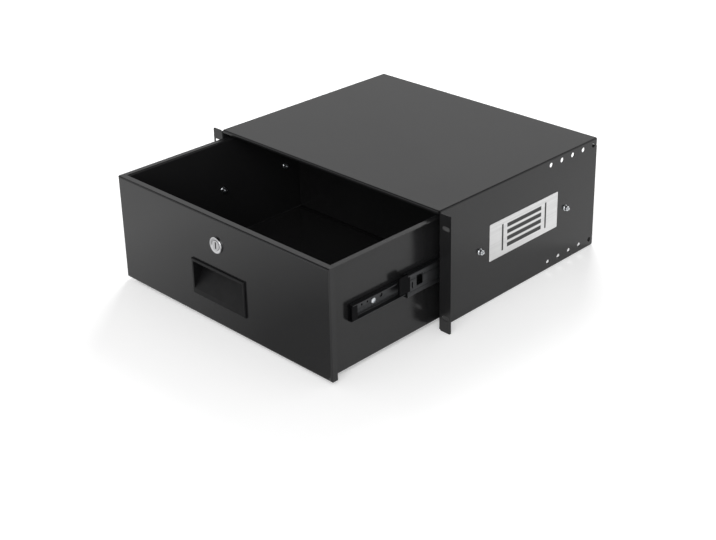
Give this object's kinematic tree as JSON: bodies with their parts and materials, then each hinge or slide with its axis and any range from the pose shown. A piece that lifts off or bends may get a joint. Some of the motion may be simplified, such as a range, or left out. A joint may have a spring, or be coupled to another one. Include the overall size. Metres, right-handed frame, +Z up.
{
  "type": "sliding rack drawer",
  "caption": "Lockable sliding drawer in a sheet-steel rack enclosure with ears, ball bearing slides, a recessed pull and a cam lock, shown pulled out.",
  "frame": {"origin": "middle of the four ear slots, on the front plane of the rack ears", "axes": "+X to the right seen from the front, +Y to the back of the rack, +Z up; the drawer opens along -Y"},
  "size_m": [0.4826, 0.5543, 0.177],
  "materials": {
    "black_steel": "fine satin powder coat",
    "slide_steel": "satin black coating on rolled steel",
    "zinc": "bright zinc plating",
    "ball_steel": "polished hardened steel",
    "brushed_plate": "brushed along its length",
    "lock_chrome": "bright nickel and chrome plating",
    "black_plastic": "fine moulded texture"
  },
  "bodies": {
    "chassis": {"chassis_shell": "black_steel", "lock_strike": "black_steel", "size_plate": "brushed_plate", "chassis_screws": "zinc", "chassis_nuts": "zinc", "right_outer_slide": "slide_steel", "left_outer_slide": "slide_steel"},
    "drawer": {"drawer_face": "black_steel", "drawer_tray": "black_steel", "drawer_back": "black_steel", "pull_cup": "black_plastic", "lock_housing": "lock_chrome", "lock_washer": "zinc", "lock_nut": "zinc", "drawer_screws": "zinc", "drawer_nuts": "zinc", "lever_rivets": "zinc", "key_blades": "lock_chrome", "key_heads": "black_plastic", "key_ring": "lock_chrome", "right_drawer_slide": "slide_steel", "right_end_cap": "black_plastic", "left_drawer_slide": "slide_steel", "left_end_cap": "black_plastic"},
    "lock_core": {"lock_plug": "lock_chrome", "lock_cam": "zinc", "cam_screw": "zinc"},
    "right_middle": {"right_middle_slide": "slide_steel", "right_slide_bumper": "black_plastic"},
    "right_outer_balls": {"right_outer_cage": "zinc", "right_outer_balls": "ball_steel"},
    "right_inner_balls": {"right_inner_cage": "zinc", "right_inner_balls": "ball_steel"},
    "right_lever": {"right_release_lever": "black_plastic"},
    "left_middle": {"left_middle_slide": "slide_steel", "left_slide_bumper": "black_plastic"},
    "left_outer_balls": {"left_outer_cage": "zinc", "left_outer_balls": "ball_steel"},
    "left_inner_balls": {"left_inner_cage": "zinc", "left_inner_balls": "ball_steel"},
    "left_lever": {"left_release_lever": "black_plastic"}
  },
  "joints": [
    {"name": "drawer_slide", "type": "slide", "parent": "chassis", "child": "drawer", "axis": [0, -1, 0], "range_m": [-0.1965, 0.1035]},
    {"name": "right_middle_slide", "type": "slide", "parent": "chassis", "child": "right_middle", "axis": [0, -1, 0], "range_m": [-0.09825, 0.05175]},
    {"name": "right_outer_balls_slide", "type": "slide", "parent": "chassis", "child": "right_outer_balls", "axis": [0, -1, 0], "range_m": [-0.04913, 0.02587]},
    {"name": "right_inner_balls_slide", "type": "slide", "parent": "chassis", "child": "right_inner_balls", "axis": [0, -1, 0], "range_m": [-0.14738, 0.07762]},
    {"name": "right_lever_tilt", "type": "hinge", "parent": "drawer", "child": "right_lever", "pos_m": [0.2103, 0.0485, -0.0015], "axis": [1, 0, 0], "range_deg": [-6, 6], "stiffness_Nm_per_rad": 0.01},
    {"name": "left_middle_slide", "type": "slide", "parent": "chassis", "child": "left_middle", "axis": [0, -1, 0], "range_m": [-0.09825, 0.05175]},
    {"name": "left_outer_balls_slide", "type": "slide", "parent": "chassis", "child": "left_outer_balls", "axis": [0, -1, 0], "range_m": [-0.04913, 0.02587]},
    {"name": "left_inner_balls_slide", "type": "slide", "parent": "chassis", "child": "left_inner_balls", "axis": [0, -1, 0], "range_m": [-0.14738, 0.07762]},
    {"name": "left_lever_tilt", "type": "hinge", "parent": "drawer", "child": "left_lever", "pos_m": [-0.2103, 0.0485, -0.0015], "axis": [1, 0, 0], "range_deg": [-6, 6], "stiffness_Nm_per_rad": 0.01},
    {"name": "lock_turn", "type": "hinge", "parent": "drawer", "child": "lock_core", "pos_m": [0, -0.1965, 0.0385], "axis": [0, 1, 0], "range_deg": [0, 90]}
  ],
  "couplings": [
    {"joint": "right_middle_slide", "follows": "drawer_slide", "ratio": 0.5},
    {"joint": "right_outer_balls_slide", "follows": "drawer_slide", "ratio": 0.25},
    {"joint": "right_inner_balls_slide", "follows": "drawer_slide", "ratio": 0.75},
    {"joint": "left_middle_slide", "follows": "drawer_slide", "ratio": 0.5},
    {"joint": "left_outer_balls_slide", "follows": "drawer_slide", "ratio": 0.25},
    {"joint": "left_inner_balls_slide", "follows": "drawer_slide", "ratio": 0.75}
  ]
}
